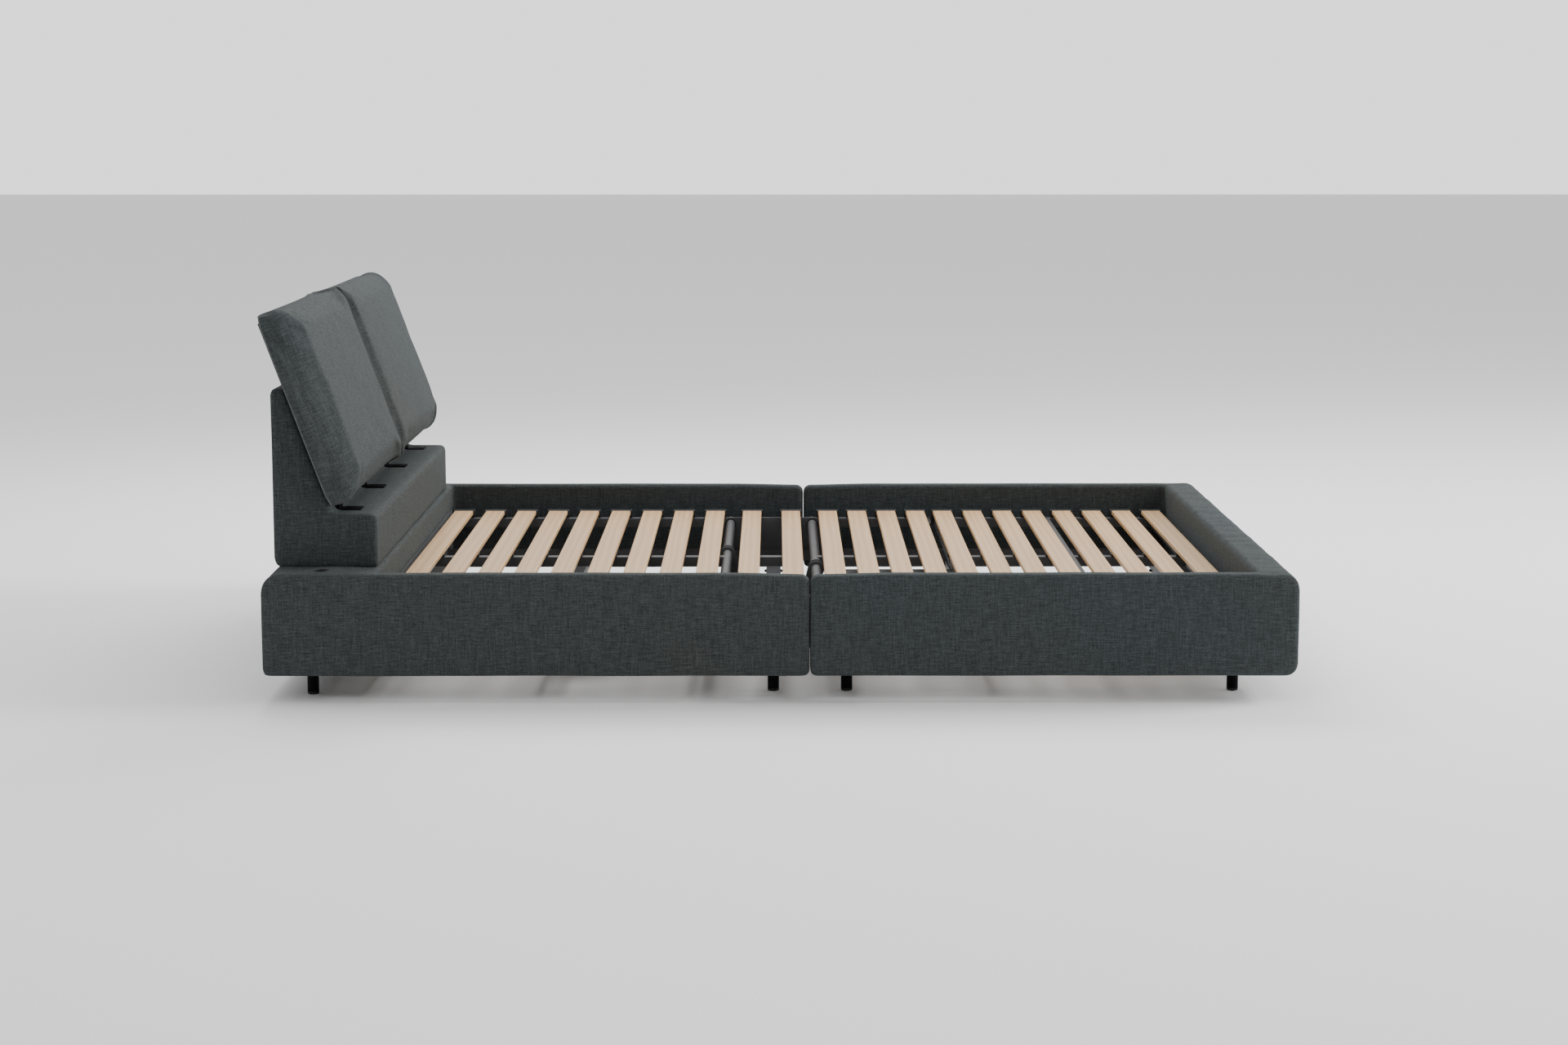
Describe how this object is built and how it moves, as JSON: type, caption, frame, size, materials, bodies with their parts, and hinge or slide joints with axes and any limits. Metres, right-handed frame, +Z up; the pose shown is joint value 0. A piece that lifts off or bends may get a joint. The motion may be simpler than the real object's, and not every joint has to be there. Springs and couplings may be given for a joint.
{
  "type": "adjustable bed base",
  "caption": "Upholstered divan box on slim round legs with an articulated slatted deck, under-deck drives and tilting headrest cushions.",
  "frame": {"origin": "on the floor under the middle of the base", "axes": "+X runs to the foot end, +Y to the sleeper's left, +Z up"},
  "size_m": [2.4005, 1.63, 0.9245],
  "materials": {
    "base_fabric": "matte basket weave",
    "timber": "raw board",
    "slat_wood": "satin lacquer",
    "black_plastic": "fine texture",
    "housing_plastic": "moulded texture",
    "black_metal": "matt powder coat",
    "frame_metal": "powder coat",
    "zinc_steel": "zinc plated",
    "lead_rubber": "smooth"
  },
  "bodies": {
    "base": {"accessory_socket_left": "black_plastic", "accessory_socket_right": "black_plastic", "back_drive_housing": "housing_plastic", "control_box": "housing_plastic", "deck_base_frame": "frame_metal", "drive_leads": "lead_rubber", "drive_motors": "zinc_steel", "foot_cross_tubes": "frame_metal", "foot_drive_housing": "housing_plastic", "foot_end_pad": "base_fabric", "foot_panel_boards": "timber", "foot_side_pad_left": "base_fabric", "foot_side_pad_right": "base_fabric", "head_cross_tubes": "frame_metal", "head_end_pad": "base_fabric", "head_inner_board": "timber", "head_panel_boards": "timber", "head_side_pad_left": "base_fabric", "head_side_pad_right": "base_fabric", "head_top_board": "timber", "head_top_pad": "base_fabric", "headboard_bolts": "zinc_steel", "headboard_frame": "timber", "headboard_pad": "base_fabric", "headboard_plinth_frame": "timber", "headboard_plinth_pad": "base_fabric", "headrest_brackets": "black_metal", "headrest_pins": "zinc_steel", "hinge_bushes": "black_plastic", "hinge_plates": "frame_metal", "joining_plates": "frame_metal", "lead_clips": "black_plastic", "leg_caps": "black_plastic", "legs": "black_metal", "panel_bolts": "zinc_steel", "seat_frame": "frame_metal", "seat_slat_holders": "black_plastic", "seat_slats": "slat_wood"},
    "back_section": {"back_frame": "frame_metal", "back_torsion_tube": "frame_metal", "back_slats": "slat_wood", "back_slat_holders": "black_plastic"},
    "thigh_section": {"thigh_frame": "frame_metal", "thigh_torsion_tube": "frame_metal", "thigh_slats": "slat_wood", "thigh_slat_holders": "black_plastic", "knee_pins": "zinc_steel"},
    "calf_section": {"calf_frame": "frame_metal", "calf_slats": "slat_wood", "calf_slat_holders": "black_plastic", "calf_glides": "black_plastic"},
    "back_rod": {"back_push_rod": "zinc_steel"},
    "foot_rod": {"foot_push_rod": "zinc_steel"},
    "headrest_left": {"headrest_cushion_left": "base_fabric", "headrest_board_left": "timber", "headrest_hinge_leaves_left": "black_metal"},
    "headrest_right": {"headrest_cushion_right": "base_fabric", "headrest_board_right": "timber", "headrest_hinge_leaves_right": "black_metal"}
  },
  "joints": [
    {"name": "back_lift", "type": "hinge", "parent": "base", "child": "back_section", "pos_m": [-0.138, 0, 0.206], "axis": [0, 1, 0], "range_deg": [0, 60]},
    {"name": "thigh_lift", "type": "hinge", "parent": "base", "child": "thigh_section", "pos_m": [0.092, 0, 0.206], "axis": [0, -1, 0], "range_deg": [0, 35]},
    {"name": "knee_fold", "type": "hinge", "parent": "thigh_section", "child": "calf_section", "pos_m": [0.422, 0, 0.206], "axis": [0, 1, 0], "range_deg": [0, 52.2]},
    {"name": "back_rod_travel", "type": "slide", "parent": "base", "child": "back_rod", "axis": [-1, 0, 0], "range_m": [0, 0.0857]},
    {"name": "foot_rod_travel", "type": "slide", "parent": "base", "child": "foot_rod", "axis": [1, 0, 0], "range_m": [0, 0.0468]},
    {"name": "headrest_tilt_left", "type": "hinge", "parent": "base", "child": "headrest_left", "pos_m": [-1.047, 0, 0.449], "axis": [0, 1, 0], "range_deg": [0, 20]},
    {"name": "headrest_tilt_right", "type": "hinge", "parent": "base", "child": "headrest_right", "pos_m": [-1.047, 0, 0.449], "axis": [0, 1, 0], "range_deg": [0, 20]}
  ],
  "couplings": [
    {"joint": "knee_fold", "follows": "thigh_lift", "ratio": 1.49},
    {"joint": "back_rod_travel", "follows": "back_lift", "m_per_rad": 0.0816},
    {"joint": "foot_rod_travel", "follows": "thigh_lift", "m_per_rad": 0.07639}
  ]
}
